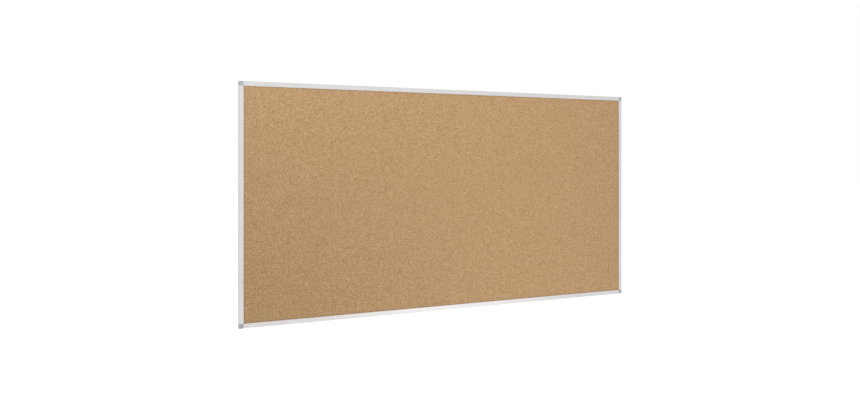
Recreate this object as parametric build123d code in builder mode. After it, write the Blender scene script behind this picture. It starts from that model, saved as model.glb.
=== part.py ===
from build123d import *
import os

# Cork bulletin board in a square-cut aluminium frame.
#
# X runs along the width, +Z is up and the cork faces -Y. The origin is the middle of the back, on the
# plane that lies against the wall, so Y = 0 is the wall and the front of the frame is at -FRAME_DEPTH.
#
# A three-layer panel (cork, soft fibreboard, kraft paper) sits in the groove of four hollow extrusions.
# A moulded connector fills each corner. Its two legs reach into the extrusions' chambers, where a small
# screw holds each, and the wall screw goes through its middle. A square cap plugs into the hole over it.

# ---------------------------------------------------------------- driving dimensions, mm
BOARD_WIDTH = 1800.0
BOARD_HEIGHT = 900.0
FRAME_FACE = 17.0  # width of the frame, seen from the front
FRAME_DEPTH = 12.0  # from the wall to the front of the frame

CORK_THICKNESS = 2.0
CORE_THICKNESS = 7.0
BACKING_THICKNESS = 0.4

# ---------------------------------------------------------------- the extrusion
SIDE_WALL = 1.2  # outer wall and the web between chamber and groove
CHAMBER_WIDTH = 9.8
PANEL_EDGE_GAP = 0.3  # between the panel's edge and the bottom of its groove
REAR_LIP = 3.3  # the front lip is wider: it goes on to the edge of the frame
FACE_RADIUS = 1.5  # the rounded outer front edge
SMALL_RADIUS = 0.4

# ---------------------------------------------------------------- corners
WALL_SCREW_HOLE_RADIUS = 2.5
HEAD_HOLE_RADIUS = 5.0  # room for the wall screw's head, and the socket of the cap
HEAD_SEAT = 4.0  # the plastic under the wall screw's head
CAP_RECESS = 1.2  # how far the cap's seat lies behind the front of the frame
CAP_PLATE = 2.0
CAP_SIDE_GAP = 0.1
CORNER_RADIUS = 1.2
CAP_EDGE_RADIUS = 0.6
SKIRT_CLEARANCE = 0.05
SKIRT_WALL = 1.0
SKIRT_LENGTH = 3.5
SKIRT_SLOT = 1.2
PRY_NOTCH_LENGTH = 4.0
PRY_NOTCH_SIZE = 0.7

LEG_LENGTH = 45.0
LEG_FIT = 0.15  # clearance of a leg in its chamber, on each side
LEG_CHAMFER = 0.8
LEG_WALL = 1.5
LEG_FLOOR = 2.0
POCKET_LENGTH = 7.0
POCKET_STARTS = (3.0, 12.0, 27.0, 36.0)  # along the leg; the boss for the screw is between the pairs
SCREW_SETBACK = 23.0  # from the end of the extrusion to its screw

# ---------------------------------------------------------------- the small screws
SCREW_HEAD_RADIUS = 2.7
SCREW_HEAD_DEPTH = 1.25
SCREW_CREST_RADIUS = 1.45
SCREW_ROOT_RADIUS = 1.1
SCREW_PITCH = 1.1
SCREW_TURNS = 5
SCREW_POINT = 1.6
SCREW_TIP_RADIUS = 0.15  # the point is slightly blunt
SCREW_HOLE_RADIUS = 1.5
COUNTERSINK_GAP = 0.1
RECESS_LENGTH = 2.8
RECESS_WIDTH = 0.7
RECESS_DEPTH = 0.8

# ---------------------------------------------------------------- worked out from those above
PANEL_THICKNESS = CORK_THICKNESS + CORE_THICKNESS + BACKING_THICKNESS
LIP = (FRAME_DEPTH - PANEL_THICKNESS) / 2  # front and rear lips are alike
GROOVE_FLOOR = SIDE_WALL + CHAMBER_WIDTH + SIDE_WALL
PANEL_INSET = GROOVE_FLOOR + PANEL_EDGE_GAP
PANEL_WIDTH = BOARD_WIDTH - 2 * PANEL_INSET
PANEL_HEIGHT = BOARD_HEIGHT - 2 * PANEL_INSET
CHAMBER_MIDDLE = SIDE_WALL + CHAMBER_WIDTH / 2
CAP_SEAT = FRAME_DEPTH - CAP_RECESS
CAP_SIDE = FRAME_FACE - CAP_SIDE_GAP
CORNER_MIDDLE = FRAME_FACE / 2
SKIRT_RADIUS = HEAD_HOLE_RADIUS - SKIRT_CLEARANCE
LEG_WIDTH = CHAMBER_WIDTH - 2 * LEG_FIT
LEG_BACK = LIP + LEG_FIT
LEG_DEPTH = PANEL_THICKNESS - 2 * LEG_FIT

FROM_CORNER = (Align.MIN, Align.MIN)

# Each corner's plane starts at the outer corner of the frame, on the wall. Its X and Y axes both run
# inwards, along the two sides of the frame, and its Z axis points to the front.
CORNERS = {
    "top_left": Plane(
        origin=(-BOARD_WIDTH / 2, 0, BOARD_HEIGHT / 2), x_dir=(0, 0, -1), z_dir=(0, -1, 0)
    ),
    "bottom_left": Plane(
        origin=(-BOARD_WIDTH / 2, 0, -BOARD_HEIGHT / 2), x_dir=(1, 0, 0), z_dir=(0, -1, 0)
    ),
    "bottom_right": Plane(
        origin=(BOARD_WIDTH / 2, 0, -BOARD_HEIGHT / 2), x_dir=(0, 0, 1), z_dir=(0, -1, 0)
    ),
    "top_right": Plane(
        origin=(BOARD_WIDTH / 2, 0, BOARD_HEIGHT / 2), x_dir=(-1, 0, 0), z_dir=(0, -1, 0)
    ),
}

# Each side of the frame runs along the X axis of the corner that it starts at.
SIDES = {
    "frame_left": ("top_left", BOARD_HEIGHT),
    "frame_bottom": ("bottom_left", BOARD_WIDTH),
    "frame_right": ("bottom_right", BOARD_HEIGHT),
    "frame_top": ("top_right", BOARD_WIDTH),
}


os.makedirs("parts", exist_ok=True)

# ---------------------------------------------------------------- the panel's three layers
# The layers are stacked from the rear lip towards the front: paper, fibreboard, cork.
with BuildPart() as backing_sheet:
    with BuildSketch(Plane.XZ.offset(LIP)):
        Rectangle(PANEL_WIDTH, PANEL_HEIGHT)
    extrude(amount=BACKING_THICKNESS)
backing_sheet.part.label = "backing_sheet"
export_step(backing_sheet.part, "parts/backing_sheet.step")

with BuildPart() as core_board:
    with BuildSketch(Plane.XZ.offset(LIP + BACKING_THICKNESS)):
        Rectangle(PANEL_WIDTH, PANEL_HEIGHT)
    extrude(amount=CORE_THICKNESS)
core_board.part.label = "core_board"
export_step(core_board.part, "parts/core_board.step")

with BuildPart() as cork_sheet:
    with BuildSketch(Plane.XZ.offset(LIP + BACKING_THICKNESS + CORE_THICKNESS)):
        Rectangle(PANEL_WIDTH, PANEL_HEIGHT)
    extrude(amount=CORK_THICKNESS)
cork_sheet.part.label = "cork_sheet"
export_step(cork_sheet.part, "parts/cork_sheet.step")

# ---------------------------------------------------------------- the four extrusions
# The profile's X runs inwards from the outer side of the frame, and its Y from the wall to the front.
for side_name, (corner_name, outer_length) in SIDES.items():
    corner = CORNERS[corner_name]
    end_plane = Plane(
        origin=corner.from_local_coords((FRAME_FACE, 0, 0)), x_dir=corner.y_dir, z_dir=corner.x_dir
    )
    side_length = outer_length - 2 * FRAME_FACE

    with BuildPart(end_plane) as side:
        with BuildSketch(end_plane) as profile:
            Rectangle(FRAME_FACE, FRAME_DEPTH, align=FROM_CORNER)
            with Locations((GROOVE_FLOOR, LIP)):
                Rectangle(FRAME_FACE, PANEL_THICKNESS, align=FROM_CORNER, mode=Mode.SUBTRACT)
            with Locations((GROOVE_FLOOR + REAR_LIP, 0)):
                Rectangle(FRAME_FACE, LIP, align=FROM_CORNER, mode=Mode.SUBTRACT)

            corners_by_inset = profile.vertices().group_by(Axis.X)
            outer_back, outer_front = corners_by_inset[0].sort_by(Axis.Y)
            lip_edges = corners_by_inset[-1] + corners_by_inset[-2]
            fillet(outer_front, FACE_RADIUS)
            fillet([outer_back] + lip_edges, SMALL_RADIUS)

            with Locations((SIDE_WALL, LIP)):
                Rectangle(CHAMBER_WIDTH, PANEL_THICKNESS, align=FROM_CORNER, mode=Mode.SUBTRACT)
        extrude(amount=side_length)

        # Countersunk holes through the back of the chamber, one near each end.
        for along in (SCREW_SETBACK, side_length - SCREW_SETBACK):
            with Locations(Plane(origin=(CHAMBER_MIDDLE, 0, along), z_dir=(0, -1, 0))):
                CounterSinkHole(
                    radius=SCREW_HOLE_RADIUS,
                    counter_sink_radius=SCREW_HEAD_RADIUS + COUNTERSINK_GAP,
                    counter_sink_angle=90,
                    depth=2 * LIP,
                )
    side.part.label = side_name
    export_step(side.part, f"parts/{side_name}.step")

# ---------------------------------------------------------------- the corner connectors
for corner_name, corner in CORNERS.items():
    leg_end = Axis(corner.origin, corner.x_dir)
    diagonal = Plane(
        origin=corner.origin, x_dir=corner.z_dir, z_dir=corner.x_dir - corner.y_dir
    )

    with BuildPart(corner) as connector:
        # One leg: a bar that is cored from the front, with a solid boss left for its screw.
        with BuildSketch(corner.offset(LEG_BACK)):
            with Locations((FRAME_FACE, SIDE_WALL + LEG_FIT)):
                Rectangle(LEG_LENGTH, LEG_WIDTH, align=FROM_CORNER)
        extrude(amount=LEG_DEPTH)
        chamfer(connector.faces().sort_by(leg_end)[-1].edges(), LEG_CHAMFER)
        with BuildSketch(corner.offset(LEG_BACK + LEG_FLOOR)):
            for start in POCKET_STARTS:
                with Locations((FRAME_FACE + start, CHAMBER_MIDDLE)):
                    Rectangle(
                        POCKET_LENGTH, LEG_WIDTH - 2 * LEG_WALL, align=(Align.MIN, Align.CENTER)
                    )
        extrude(amount=LEG_DEPTH, mode=Mode.SUBTRACT)
        with BuildSketch(corner):
            with Locations((FRAME_FACE + SCREW_SETBACK, CHAMBER_MIDDLE)):
                Circle(SCREW_HOLE_RADIUS)
        extrude(amount=LEG_BACK + LEG_DEPTH, mode=Mode.SUBTRACT)

        # The other leg is its mirror image in the corner's diagonal.
        mirror(about=diagonal)

        # The block between them, with its outer corner rounded and the panel's corner let in.
        with BuildSketch(corner) as block:
            Rectangle(FRAME_FACE, FRAME_FACE, align=FROM_CORNER)
            fillet(block.vertices().sort_by_distance((0, 0))[0], CORNER_RADIUS)
        extrude(amount=CAP_SEAT)
        with BuildSketch(corner.offset(LIP)):
            with Locations((GROOVE_FLOOR, GROOVE_FLOOR)):
                Rectangle(FRAME_FACE, FRAME_FACE, align=FROM_CORNER)
        extrude(amount=FRAME_DEPTH, mode=Mode.SUBTRACT)

        # The wall screw's hole, wide in front for its head and for the cap.
        with Locations((CORNER_MIDDLE, CORNER_MIDDLE, CAP_SEAT)):
            CounterBoreHole(
                radius=WALL_SCREW_HOLE_RADIUS,
                counter_bore_radius=HEAD_HOLE_RADIUS,
                counter_bore_depth=CAP_SEAT - HEAD_SEAT,
                depth=CAP_SEAT,
            )
    connector.part.label = f"corner_connector_{corner_name}"
    export_step(connector.part, f"parts/{connector.part.label}.step")

# ---------------------------------------------------------------- the corner caps
for corner_name, corner in CORNERS.items():
    seat = corner.offset(CAP_SEAT)

    with BuildPart(seat) as cap:
        with BuildSketch(seat) as plate:
            Rectangle(CAP_SIDE, CAP_SIDE, align=FROM_CORNER)
            fillet(plate.vertices(), CORNER_RADIUS)
        extrude(amount=CAP_PLATE)
        fillet(cap.faces().sort_by(Axis.Y)[0].edges(), CAP_EDGE_RADIUS)

        # A notch under each outer edge, to lift the cap out with a thumbnail or a screwdriver.
        with BuildSketch(seat):
            with Locations((CORNER_MIDDLE, 0)):
                Rectangle(PRY_NOTCH_LENGTH, 2 * PRY_NOTCH_SIZE)
            with Locations((0, CORNER_MIDDLE)):
                Rectangle(2 * PRY_NOTCH_SIZE, PRY_NOTCH_LENGTH)
        extrude(amount=PRY_NOTCH_SIZE, mode=Mode.SUBTRACT)

        # A ring of four springy fingers plugs into the connector's hole. The slots are cut right across.
        with BuildSketch(seat):
            with Locations((CORNER_MIDDLE, CORNER_MIDDLE)):
                Circle(SKIRT_RADIUS)
                Circle(SKIRT_RADIUS - SKIRT_WALL, mode=Mode.SUBTRACT)
                Rectangle(SKIRT_SLOT, 3 * SKIRT_RADIUS, mode=Mode.SUBTRACT)
                Rectangle(3 * SKIRT_RADIUS, SKIRT_SLOT, mode=Mode.SUBTRACT)
        extrude(amount=-SKIRT_LENGTH)
    cap.part.label = f"corner_cap_{corner_name}"
    export_step(cap.part, f"parts/{cap.part.label}.step")

# ---------------------------------------------------------------- the small screws
# One screw, head up, with its flat at Z = 0. Its thread is a stack of rings.
with BuildPart() as screw:
    thread_start = -SCREW_HEAD_DEPTH
    outline = [(0, 0), (SCREW_HEAD_RADIUS, 0), (SCREW_CREST_RADIUS, thread_start)]
    for turn in range(SCREW_TURNS):
        crest = thread_start - (turn + 1) * SCREW_PITCH
        outline.append((SCREW_ROOT_RADIUS, crest + SCREW_PITCH / 2))
        outline.append((SCREW_CREST_RADIUS, crest))
    tip = thread_start - SCREW_TURNS * SCREW_PITCH - SCREW_POINT
    outline.append((SCREW_TIP_RADIUS, tip))
    outline.append((0, tip))
    with BuildSketch(Plane.XZ):
        with BuildLine():
            Polyline(*outline, close=True)
        make_face()
    revolve(axis=Axis.Z)
    with BuildSketch():
        Rectangle(RECESS_LENGTH, RECESS_WIDTH)
        Rectangle(RECESS_WIDTH, RECESS_LENGTH)
    extrude(amount=-RECESS_DEPTH, mode=Mode.SUBTRACT)

screw_heads = []
for corner in CORNERS.values():
    for place in (
        (FRAME_FACE + SCREW_SETBACK, CHAMBER_MIDDLE),
        (CHAMBER_MIDDLE, FRAME_FACE + SCREW_SETBACK),
    ):
        screw_heads.append(Plane(origin=corner.from_local_coords((*place, 0)), z_dir=-corner.z_dir))

with BuildPart() as connector_screws:
    with Locations(*screw_heads):
        add(screw.part)
connector_screws.part.label = "connector_screws"
export_step(connector_screws.part, "parts/connector_screws.step")
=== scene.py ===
import math

import bpy
import numpy as np
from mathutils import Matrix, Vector


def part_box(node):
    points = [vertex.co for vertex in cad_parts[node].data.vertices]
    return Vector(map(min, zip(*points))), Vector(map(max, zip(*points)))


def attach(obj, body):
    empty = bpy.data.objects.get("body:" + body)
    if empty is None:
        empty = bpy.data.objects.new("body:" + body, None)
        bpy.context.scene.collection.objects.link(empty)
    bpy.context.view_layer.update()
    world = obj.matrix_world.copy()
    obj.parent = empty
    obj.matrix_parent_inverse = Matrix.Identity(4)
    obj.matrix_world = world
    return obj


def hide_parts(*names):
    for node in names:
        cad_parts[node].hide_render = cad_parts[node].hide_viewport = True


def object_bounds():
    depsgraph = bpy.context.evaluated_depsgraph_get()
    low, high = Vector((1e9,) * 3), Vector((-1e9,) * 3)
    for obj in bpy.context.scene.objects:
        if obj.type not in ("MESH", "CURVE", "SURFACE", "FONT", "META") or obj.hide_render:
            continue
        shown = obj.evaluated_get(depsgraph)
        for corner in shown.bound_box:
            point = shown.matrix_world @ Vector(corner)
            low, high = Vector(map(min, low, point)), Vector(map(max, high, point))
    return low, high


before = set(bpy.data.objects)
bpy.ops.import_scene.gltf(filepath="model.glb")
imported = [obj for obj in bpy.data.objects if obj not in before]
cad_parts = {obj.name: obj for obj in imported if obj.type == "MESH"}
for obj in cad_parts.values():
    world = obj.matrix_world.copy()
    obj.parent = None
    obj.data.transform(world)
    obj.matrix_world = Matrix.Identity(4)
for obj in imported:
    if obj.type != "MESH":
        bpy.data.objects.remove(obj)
cad_low, cad_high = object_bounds()

# A cork bulletin board. X runs along its width, -Y is its front and +Z is up. Lengths are metres.
MM = 0.001

CORK_CELL = 4.2 * MM  # spacing of the mesh that carries the cork's relief
CORK_RELIEF = 0.3 * MM  # the deepest pit
PIT_CHANCE = 0.015
GRANULES_PER_METRE = 430
CRUMBS_PER_METRE = 900
SPECKS_PER_METRE = 1300
CORK_LEVELS = ((0.0, 100), (0.15, 130), (0.5, 145), (0.85, 159), (1.0, 177))  # dark to light granules
BARK_LEVEL = 82
CORK_WARMTH = (34, 0, -40)  # added to a level to give the red, green and blue of cork
LIP_SHADE_REACH = 6 * MM  # how far the painted shade along the frame's lip reaches on to the cork

PAPER_CELL = 8 * MM  # spacing of the mesh that carries the paper's relief
PAPER_RELIEF = 0.15 * MM
FIBRE_TURNS = 5  # how many directions the fibres of paper and board lie in

DRAWN_LINE = (150 * MM, 0.3 * MM)  # length and width of a line that the die draws in the aluminium
DRAWN_BAND = (600 * MM, 2.5 * MM)

NOISE_SPAN = (0.3, 0.7)  # most of a noise's values lie between these

FLOOR_DROP = 0.9  # from the board's lower edge to the floor
FLOOR_SIZE = 80.0

# The camera is level and stands off the board's left end. Its distances are in board heights.
CAMERA_TURN = math.radians(29.18)
CAMERA_LEFT_OF_BOARD = 1.121
CAMERA_IN_FRONT = 3.586
CAMERA_ABOVE_MIDDLE = 0.186
CAMERA_LENS = 38.2
CAMERA_SHIFT = -0.0538

# The room's light comes from all round, and is stronger in front of the board and behind it.
AMBIENT_LIGHT = 0.66
FRONT_LIGHT = 1.06
BACK_LIGHT = 0.9
FRONT_LIGHT_TURN = math.radians(10)  # from the board's front towards its right
FRONT_LIGHT_REACH = math.radians(41)  # from the front light's middle to its edge
FLOOR_GLOW = (0.1, 0.4)  # what the object gets from it, and what the camera sees
ROOM_WHITE = (1.0, 0.98, 0.945, 1.0)
LAMP_WHITE = (0.97, 1.0, 1.08)
SHEEN_WHITE = (1.0, 0.96, 0.9)

board_height = cad_high.z - cad_low.z
board_middle = (cad_low + cad_high) / 2
opening_half_width = -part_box("frame_left")[1].x
opening_half_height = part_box("frame_top")[0].z


def srgb(red, green, blue):
    """A screen colour, 0 to 255, as the linear colour that shaders take."""
    linear = []
    for value in (red, green, blue):
        value /= 255
        linear.append(value / 12.92 if value <= 0.04045 else ((value + 0.055) / 1.055) ** 2.4)
    return (*linear, 1.0)


# ================================================================ materials
class Graph:
    """A node tree in the making. All methods but add and feed return the socket of a new node."""

    def __init__(self, tree):
        self.tree = tree

    def add(self, kind, **settings):
        """A new node, with its settings."""
        node = self.tree.nodes.new(kind)
        for name, value in settings.items():
            setattr(node, name, value)
        return node

    def feed(self, socket, value):
        """Give a socket a plain value, or link another node's output to it."""
        if isinstance(value, bpy.types.NodeSocket):
            self.tree.links.new(value, socket)
        else:
            socket.default_value = value

    def maths(self, operation, first, second=0.0):
        """One sum on two values, such as ADD or MAXIMUM. Some operations only use the first value."""
        node = self.add("ShaderNodeMath", operation=operation)
        self.feed(node.inputs[0], first)
        self.feed(node.inputs[1], second)
        return node.outputs["Value"]

    def span(self, value, old, new=(0.0, 1.0)):
        """A value taken from the range old to the range new, and held inside it."""
        node = self.add("ShaderNodeMapRange")
        self.feed(node.inputs["Value"], value)
        node.inputs["From Min"].default_value = old[0]
        node.inputs["From Max"].default_value = old[1]
        node.inputs["To Min"].default_value = new[0]
        node.inputs["To Max"].default_value = new[1]
        return node.outputs["Result"]

    def ramp(self, value, *stops):
        """A colour for each value, from stops of (position, colour)."""
        node = self.add("ShaderNodeValToRGB")
        self.feed(node.inputs["Fac"], value)
        elements = node.color_ramp.elements
        while len(elements) < len(stops):
            elements.new(1.0)
        for element, (position, colour) in zip(elements, stops):
            element.position = position
            element.color = colour
        return node.outputs["Color"]

    def mix(self, factor, first, second):
        """The first colour where factor is 0, the second where it is 1, and a blend between them."""
        node = self.add("ShaderNodeMixRGB")
        self.feed(node.inputs["Fac"], factor)
        self.feed(node.inputs["Color1"], first)
        self.feed(node.inputs["Color2"], second)
        return node.outputs["Color"]


class Recipe(Graph):
    """A procedural material. Its patterns are laid out in the object's own space, in metres."""

    def __init__(self, name):
        self.material = bpy.data.materials.new(name)
        self.material.use_nodes = True
        super().__init__(self.material.node_tree)
        self.surface = self.tree.nodes["Principled BSDF"]
        self.place = self.add("ShaderNodeTexCoord").outputs["Object"]

    def stretched(self, size, turn=0.0):
        """Places in units of size along X, Y and Z, turned together in the plane of the board."""
        node = self.add("ShaderNodeMapping", vector_type="TEXTURE")
        self.feed(node.inputs["Vector"], self.place)
        node.inputs["Rotation"].default_value = (0, turn, 0)
        node.inputs["Scale"].default_value = size
        return node.outputs["Vector"]

    def noise(self, where, scale=1.0, detail=2.0, roughness=0.5):
        """Smooth random values, mostly within NOISE_SPAN. scale is the number of waves to a unit."""
        node = self.add("ShaderNodeTexNoise")
        self.feed(node.inputs["Vector"], where)
        node.inputs["Scale"].default_value = scale
        node.inputs["Detail"].default_value = detail
        node.inputs["Roughness"].default_value = roughness
        return node.outputs["Fac"]

    def warped(self, where, scale, reach):
        """Places pushed about by noise, so that grains lose their straight sides."""
        noise = self.add("ShaderNodeTexNoise")
        self.feed(noise.inputs["Vector"], where)
        noise.inputs["Scale"].default_value = scale
        push = self.add("ShaderNodeVectorMath", operation="MULTIPLY_ADD")
        self.feed(push.inputs[0], noise.outputs["Color"])
        push.inputs[1].default_value = (reach, reach, reach)
        self.feed(push.inputs[2], where)
        return push.outputs["Vector"]

    def grain(self, where, scale):
        """Two random values, 0 to 1, for each grain. scale is the number of grains to a metre."""
        node = self.add("ShaderNodeTexVoronoi")
        self.feed(node.inputs["Vector"], where)
        node.inputs["Scale"].default_value = scale
        split = self.add("ShaderNodeSeparateColor")
        self.feed(split.inputs["Color"], node.outputs["Color"])
        return split.outputs["Red"], split.outputs["Green"]

    def grain_edge(self, where, scale):
        """How far a place is from the edge of its grain: 0 on the edge, about 0.5 in the middle."""
        node = self.add("ShaderNodeTexVoronoi", feature="DISTANCE_TO_EDGE")
        self.feed(node.inputs["Vector"], where)
        node.inputs["Scale"].default_value = scale
        return node.outputs["Distance"]

    def towards_edge(self, half_width, half_height, reach):
        """0 on a centred upright rectangle, rising to 1 over the last stretch before its edges."""
        split = self.add("ShaderNodeSeparateXYZ")
        self.feed(split.inputs["Vector"], self.place)
        across = self.maths("ABSOLUTE", split.outputs["X"])
        up = self.maths("ABSOLUTE", split.outputs["Z"])
        near_side = self.span(across, (half_width - reach, half_width))
        near_top = self.span(up, (half_height - reach, half_height))
        return self.maths("MAXIMUM", near_side, near_top)

    def shade(self, colour, brightness):
        """A colour made lighter or darker by a factor that varies from place to place."""
        node = self.add("ShaderNodeVectorMath", operation="SCALE")
        self.feed(node.inputs[0], colour)
        self.feed(node.inputs["Scale"], brightness)
        return node.outputs["Vector"]

    def bump(self, height, depth, under=None):
        """A fine relief, depth metres from lowest to highest, laid over another one if one is given."""
        node = self.add("ShaderNodeBump")
        self.feed(node.inputs["Height"], height)
        node.inputs["Distance"].default_value = depth
        if under is not None:
            self.feed(node.inputs["Normal"], under)
        return node.outputs["Normal"]

    def finish(self, colour, roughness, normal, metallic=0.0, specular=0.5):
        """Feed the surface and give back the finished material."""
        self.feed(self.surface.inputs["Base Color"], colour)
        self.feed(self.surface.inputs["Roughness"], roughness)
        self.feed(self.surface.inputs["Normal"], normal)
        self.surface.inputs["Metallic"].default_value = metallic
        self.surface.inputs["Specular IOR Level"].default_value = specular
        return self.material


def cork_tone(level):
    """Cork of a given lightness, 0 to 255. Light and dark granules share one warm hue."""
    return srgb(*(level + warmth for warmth in CORK_WARMTH))


def make_cork():
    """Granules of 1 to 3 mm pressed together, some of them in crumbs, with specks of dark bark."""
    cork = Recipe("agglomerated_cork")
    place = cork.warped(cork.place, scale=420, reach=1.8 * MM)
    place = cork.warped(place, scale=1900, reach=0.55 * MM)
    granule, chance = cork.grain(place, scale=GRANULES_PER_METRE)
    crumb, _ = cork.grain(place, scale=CRUMBS_PER_METRE)
    seam = cork.grain_edge(place, scale=GRANULES_PER_METRE)
    broken = cork.span(chance, (0.55, 0.56))  # some granules are a cluster of crumbs
    tone = cork.mix(broken, granule, crumb)

    colour = cork.ramp(tone, *[(position, cork_tone(level)) for position, level in CORK_LEVELS])
    mottle = cork.noise(cork.place, scale=2200, detail=3)
    colour = cork.shade(colour, cork.span(mottle, NOISE_SPAN, (0.86, 1.14)))
    colour = cork.shade(colour, cork.span(seam, (0, 0.1), (0.84, 1.0)))
    _, rare = cork.grain(place, scale=SPECKS_PER_METRE)
    colour = cork.mix(cork.span(rare, (0.96, 0.97)), colour, cork_tone(BARK_LEVEL))
    # Painted shade: the cork is darkened towards the frame's lip, standing in for the shade that the
    # lip casts on it.
    lip_shade = cork.towards_edge(opening_half_width, opening_half_height, reach=LIP_SHADE_REACH)
    colour = cork.shade(colour, cork.span(lip_shade, (0, 1), (1.0, 0.82)))

    raised = cork.bump(tone, 0.1 * MM)
    raised = cork.bump(cork.span(seam, (0, 0.25)), 0.1 * MM, under=raised)
    raised = cork.bump(mottle, 0.06 * MM, under=raised)
    return cork.finish(colour, cork.span(tone, (0, 1), (0.95, 0.8)), raised, specular=0.25)


def drawn_size(mark, along_x):
    """The size along X, Y and Z of a drawn mark, given as its length and width."""
    length, width = mark
    return (length, width, width) if along_x else (width, width, length)


def make_aluminium(name, along_x):
    """Satin anodised extrusion, with the fine lines and faint bands that the die draws along it."""
    metal = Recipe(name)
    lines = metal.noise(metal.stretched(drawn_size(DRAWN_LINE, along_x)))
    bands = metal.noise(metal.stretched(drawn_size(DRAWN_BAND, along_x)), detail=3)
    clouds = metal.noise(metal.place, scale=9, detail=4)

    colour = metal.mix(metal.span(clouds, NOISE_SPAN), srgb(231, 231, 234), srgb(239, 239, 242))
    colour = metal.shade(colour, metal.span(lines, NOISE_SPAN, (0.93, 1.05)))
    colour = metal.shade(colour, metal.span(bands, NOISE_SPAN, (0.96, 1.035)))
    line_roughness = metal.span(lines, NOISE_SPAN, (0.26, 0.42))
    cloud_roughness = metal.span(clouds, NOISE_SPAN, (0, 0.05))
    roughness = metal.maths("ADD", line_roughness, cloud_roughness)
    drawn = metal.bump(lines, 0.006 * MM)
    drawn = metal.bump(bands, 0.012 * MM, under=drawn)
    return metal.finish(colour, roughness, drawn, metallic=1.0)


def make_plastic(name, light, dark):
    """Moulded plastic with a fine eroded texture and the faint clouds of its filler."""
    plastic = Recipe(name)
    texture = plastic.noise(plastic.place, scale=2400, detail=2)
    clouds = plastic.noise(plastic.place, scale=130, detail=3)
    colour = plastic.mix(plastic.span(clouds, (0.35, 0.65)), dark, light)
    colour = plastic.shade(colour, plastic.span(texture, NOISE_SPAN, (0.96, 1.04)))
    roughness = plastic.span(texture, NOISE_SPAN, (0.46, 0.62))
    return plastic.finish(colour, roughness, plastic.bump(texture, 0.03 * MM))


def make_fibres(name, light, dark, fleck, fibre_width, fibre_length, depth):
    """Paper or fibreboard: matted fibres that lie at all angles, over slow clouds of tone."""
    sheet = Recipe(name)
    clouds = sheet.noise(sheet.place, scale=60, detail=5, roughness=0.65)
    colour = sheet.mix(sheet.span(clouds, (0.25, 0.75)), dark, light)
    grain = sheet.noise(sheet.place, scale=0.7 / fibre_width, detail=3)
    colour = sheet.shade(colour, sheet.span(grain, NOISE_SPAN, (0.95, 1.05)))
    relief = sheet.bump(grain, depth)
    for turn in range(FIBRE_TURNS):
        angle = math.pi * (turn + 0.3) / FIBRE_TURNS  # none of them lies along an edge
        fibres = sheet.noise(sheet.stretched((fibre_length, fibre_width, fibre_width), angle), detail=1)
        colour = sheet.mix(sheet.span(fibres, (0.66, 0.78), (0, 0.4)), colour, fleck)
        relief = sheet.bump(fibres, depth, under=relief)
    return sheet.finish(colour, 0.88, relief, specular=0.2)


def make_zinc():
    """Bright zinc plating, with the faint yellow and blue bloom that it takes."""
    zinc = Recipe("zinc_plated_steel")
    bloom = zinc.noise(zinc.place, scale=500, detail=2)
    colour = zinc.ramp(
        bloom, (0.3, srgb(196, 200, 212)), (0.5, srgb(206, 206, 204)), (0.7, srgb(212, 204, 180))
    )
    roughness = zinc.span(bloom, NOISE_SPAN, (0.25, 0.4))
    turned = zinc.noise(zinc.place, scale=5000, detail=2)
    return zinc.finish(colour, roughness, zinc.bump(turned, 0.01 * MM), metallic=1.0)


LENGTHWISE_METAL = make_aluminium("anodised_aluminium_lengthwise", along_x=True)
UPRIGHT_METAL = make_aluminium("anodised_aluminium_upright", along_x=False)
CONNECTOR_PLASTIC = make_plastic("light_grey_plastic", srgb(209, 206, 202), srgb(199, 196, 192))
CAP_PLASTIC = make_plastic("mid_grey_plastic", srgb(170, 173, 174), srgb(162, 165, 166))
FIBREBOARD = make_fibres(
    "soft_fibreboard", srgb(176, 146, 108), srgb(158, 129, 93), srgb(206, 180, 142),
    fibre_width=0.8 * MM, fibre_length=7 * MM, depth=0.08 * MM,
)
KRAFT = make_fibres(
    "kraft_paper", srgb(190, 158, 119), srgb(183, 150, 111), srgb(213, 186, 149),
    fibre_width=0.25 * MM, fibre_length=3 * MM, depth=0.01 * MM,
)
CORK = make_cork()
ZINC = make_zinc()


# ================================================================ sheets with a real relief
def random_field(rng, rows, columns, step):
    """Values from 0 to 1 on a grid, blended between random posts that stand step cells apart."""
    posts = rng.random((rows // step + 2, columns // step + 2))
    row_at = np.arange(rows) / step
    column_at = np.arange(columns) / step
    along = np.array([np.interp(column_at, np.arange(posts.shape[1]), line) for line in posts])
    return np.array([np.interp(row_at, np.arange(posts.shape[0]), line) for line in along.T]).T


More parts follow.
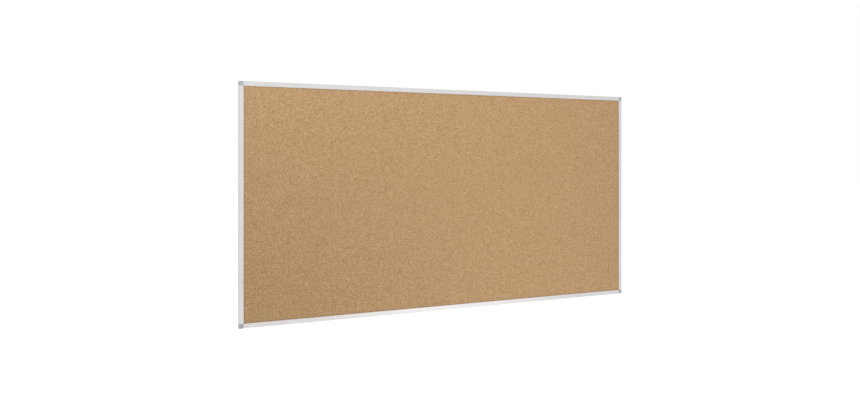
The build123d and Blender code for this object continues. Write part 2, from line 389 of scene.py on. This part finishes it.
def relief_sheet(name, node, cell, front, depth_of):
    """A closed sheet that fills a CAD sheet's box, with a relief on one face.

    front says which face that is: the one towards -Y, or else the one towards +Y.
    depth_of(rows, columns) says how far each point of it is sunk.
    """
    low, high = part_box(node)
    columns = round((high.x - low.x) / cell) + 1
    rows = round((high.z - low.z) / cell) + 1
    x, z = np.meshgrid(np.linspace(low.x, high.x, columns), np.linspace(low.z, high.z, rows))
    face_y, other_y, inwards = (low.y, high.y, 1) if front else (high.y, low.y, -1)
    y = face_y + inwards * depth_of(rows, columns)
    points = np.stack([x, y, z], axis=-1).reshape(-1, 3)

    # The rim goes round the grid, anticlockwise as seen from the front. The other face has a copy.
    index = np.arange(rows * columns).reshape(rows, columns)
    rim = np.concatenate([index[0, :-1], index[:-1, -1], index[-1, :0:-1], index[:0:-1, 0]])
    other_rim = points[rim].copy()
    other_rim[:, 1] = other_y
    back = np.arange(len(rim)) + len(points)

    face = np.stack([index[:-1, :-1], index[:-1, 1:], index[1:, 1:], index[1:, :-1]], axis=-1)
    side = np.stack([rim, back, np.roll(back, -1), np.roll(rim, -1)], axis=-1)
    polygons = face.reshape(-1, 4).tolist()
    face_count = len(polygons)
    polygons += side.tolist() + [back[::-1].tolist()]
    if not front:
        polygons = [polygon[::-1] for polygon in polygons]

    mesh = bpy.data.meshes.new(name)
    mesh.from_pydata(np.concatenate([points, other_rim]).tolist(), [], polygons)
    smooth = np.zeros(len(polygons), bool)
    smooth[:face_count] = True
    mesh.polygons.foreach_set("use_smooth", smooth)
    mesh.update()
    sheet = bpy.data.objects.new(name, mesh)
    bpy.context.scene.collection.objects.link(sheet)
    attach(sheet, "board")
    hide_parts(node)
    return sheet


def cork_depth(rows, columns):
    """Granules pressed to slightly different heights, a slow waviness, and a pit here and there."""
    rng = np.random.default_rng(seed=11)
    granules = rng.random((rows, columns))
    waves = random_field(rng, rows, columns, step=9)
    pits = rng.random((rows, columns)) > 1 - PIT_CHANCE
    return CORK_RELIEF * (0.3 * granules + 0.35 * waves + 0.35 * pits)


def paper_depth(rows, columns):
    """The liner follows the fibreboard's uneven back, and cockles a little."""
    rng = np.random.default_rng(seed=23)
    cockles = random_field(rng, rows, columns, step=14)
    grain = random_field(rng, rows, columns, step=3)
    return PAPER_RELIEF * (0.7 * cockles + 0.3 * grain)


cork_face = relief_sheet("cork_face", "cork_sheet", CORK_CELL, front=True, depth_of=cork_depth)
cork_face.data.materials.append(CORK)

kraft_liner = relief_sheet(
    "kraft_liner", "backing_sheet", PAPER_CELL, front=False, depth_of=paper_depth
)
kraft_liner.data.materials.append(KRAFT)


# ================================================================ finishes on the CAD pieces
def dress(node, material):
    """Put a material on every slot of a CAD node."""
    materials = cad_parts[node].data.materials
    if not materials:
        materials.append(material)
    for slot in range(len(materials)):
        materials[slot] = material


FINISHES = {
    "frame_top": LENGTHWISE_METAL,
    "frame_bottom": LENGTHWISE_METAL,
    "frame_left": UPRIGHT_METAL,
    "frame_right": UPRIGHT_METAL,
    "corner_connector": CONNECTOR_PLASTIC,
    "corner_cap": CAP_PLASTIC,
    "connector_screws": ZINC,
    "core_board": FIBREBOARD,
}

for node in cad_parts:
    for start_of_name, finish in FINISHES.items():
        if node.startswith(start_of_name):
            dress(node, finish)


# ================================================================ the studio
def make_floor():
    """A plain white floor, well below the board. Its glow stands for lamps that light it from above."""
    paint = Recipe("floor_paint")
    clouds = paint.noise(paint.place, scale=2)
    white = paint.mix(clouds, srgb(247, 247, 247), srgb(250, 250, 250))
    paint.finish(white, 0.9, paint.bump(clouds, 0.1 * MM), specular=0.1)
    paint.surface.inputs["Emission Color"].default_value = (1, 1, 1, 1)
    rays = paint.add("ShaderNodeLightPath")
    glow = paint.span(rays.outputs["Is Camera Ray"], (0, 1), FLOOR_GLOW)
    paint.feed(paint.surface.inputs["Emission Strength"], glow)

    half = FLOOR_SIZE / 2
    height = cad_low.z - FLOOR_DROP
    mesh = bpy.data.meshes.new("floor")
    corners = [(x * half, y * half, height) for x, y in ((-1, -1), (1, -1), (1, 1), (-1, 1))]
    mesh.from_pydata(corners, [], [(0, 1, 2, 3)])
    mesh.materials.append(paint.material)
    floor = bpy.data.objects.new("floor", mesh)
    bpy.context.scene.collection.objects.link(floor)


def make_world():
    """Soft light from all round, strongest from the front. The camera sees a plain white backdrop."""
    world = bpy.data.worlds.new("studio")
    world.use_nodes = True
    world.node_tree.nodes.clear()
    studio = Graph(world.node_tree)
    frontal = studio.add("ShaderNodeVectorMath", operation="DOT_PRODUCT")
    studio.feed(frontal.inputs[0], studio.add("ShaderNodeTexCoord").outputs["Generated"])
    frontal.inputs[1].default_value = (math.sin(FRONT_LIGHT_TURN), -math.cos(FRONT_LIGHT_TURN), 0)
    edge_of_reach = math.cos(FRONT_LIGHT_REACH)
    from_front = studio.span(frontal.outputs["Value"], (edge_of_reach, 1), (AMBIENT_LIGHT, FRONT_LIGHT))
    from_back = studio.span(frontal.outputs["Value"], (0, -1), (AMBIENT_LIGHT, BACK_LIGHT))
    strength = studio.maths("MAXIMUM", from_front, from_back)
    light = studio.add("ShaderNodeBackground")
    light.inputs["Color"].default_value = ROOM_WHITE
    studio.feed(light.inputs["Strength"], strength)
    backdrop = studio.add("ShaderNodeBackground")
    backdrop.inputs["Color"].default_value = (1, 1, 1, 1)
    seen = studio.add("ShaderNodeMixShader")
    studio.feed(seen.inputs["Fac"], studio.add("ShaderNodeLightPath").outputs["Is Camera Ray"])
    studio.feed(seen.inputs[1], light.outputs["Background"])
    studio.feed(seen.inputs[2], backdrop.outputs["Background"])
    studio.feed(studio.add("ShaderNodeOutputWorld").inputs["Surface"], seen.outputs["Shader"])
    bpy.context.scene.world = world


def in_room(across, out, up):
    """A place in front of the board: across in half widths, out in metres, up in half heights."""
    return Vector((across * cad_high.x, -out, up * cad_high.z))


def make_softbox(name, place, aim, size, watts, colour=LAMP_WHITE, mirrored=False):
    """An area light that the camera doesn't see. It lights matt surfaces, or shiny ones if mirrored."""
    data = bpy.data.lights.new(name, "AREA")
    data.shape = "RECTANGLE"
    data.size, data.size_y = size
    data.energy = watts
    data.color = colour
    lamp = bpy.data.objects.new(name, data)
    lamp.location = place
    lamp.rotation_euler = (aim - place).to_track_quat("-Z", "Y").to_euler()
    lamp.visible_camera = False
    lamp.visible_glossy = mirrored
    lamp.visible_diffuse = not mirrored
    bpy.context.scene.collection.objects.link(lamp)


def light_board():
    """Three softboxes even out the light on the cork. One puts a soft sheen along the bottom rail."""
    make_softbox(
        "upper_left", place=in_room(across=-1.02, out=0.8, up=2.27),
        aim=in_room(across=-0.56, out=0, up=0.44), size=(1.2, 1.2), watts=7.3,
    )
    make_softbox(
        "upper_right", place=in_room(across=0.56, out=1.07, up=2.13),
        aim=in_room(across=0.56, out=0, up=0.44), size=(1.2, 1.2), watts=4.7,
    )
    make_softbox(
        "lower_right", place=in_room(across=0.56, out=0.8, up=-1.27),
        aim=in_room(across=0.56, out=0, up=-0.44), size=(1.5, 1.5), watts=3.6,
    )
    make_softbox(
        "rail_sheen", place=in_room(across=1.33, out=2.2, up=-1.91),
        aim=in_room(across=0, out=0, up=-1), size=(1.1, 0.8), watts=1.8,
        colour=SHEEN_WHITE, mirrored=True,
    )


def make_camera():
    """A level camera, shifted instead of tilted, so that upright edges stay upright in the picture."""
    data = bpy.data.cameras.new("camera")
    data.lens = CAMERA_LENS
    data.shift_y = CAMERA_SHIFT
    camera = bpy.data.objects.new("camera", data)
    camera.location = (
        cad_low.x - CAMERA_LEFT_OF_BOARD * board_height,
        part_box("frame_top")[0].y - CAMERA_IN_FRONT * board_height,
        board_middle.z + CAMERA_ABOVE_MIDDLE * board_height,
    )
    camera.rotation_euler = (math.radians(90), 0, -CAMERA_TURN)
    bpy.context.scene.collection.objects.link(camera)
    bpy.context.scene.camera = camera


make_floor()
make_world()
light_board()
make_camera()
bpy.context.scene.view_settings.view_transform = "Standard"
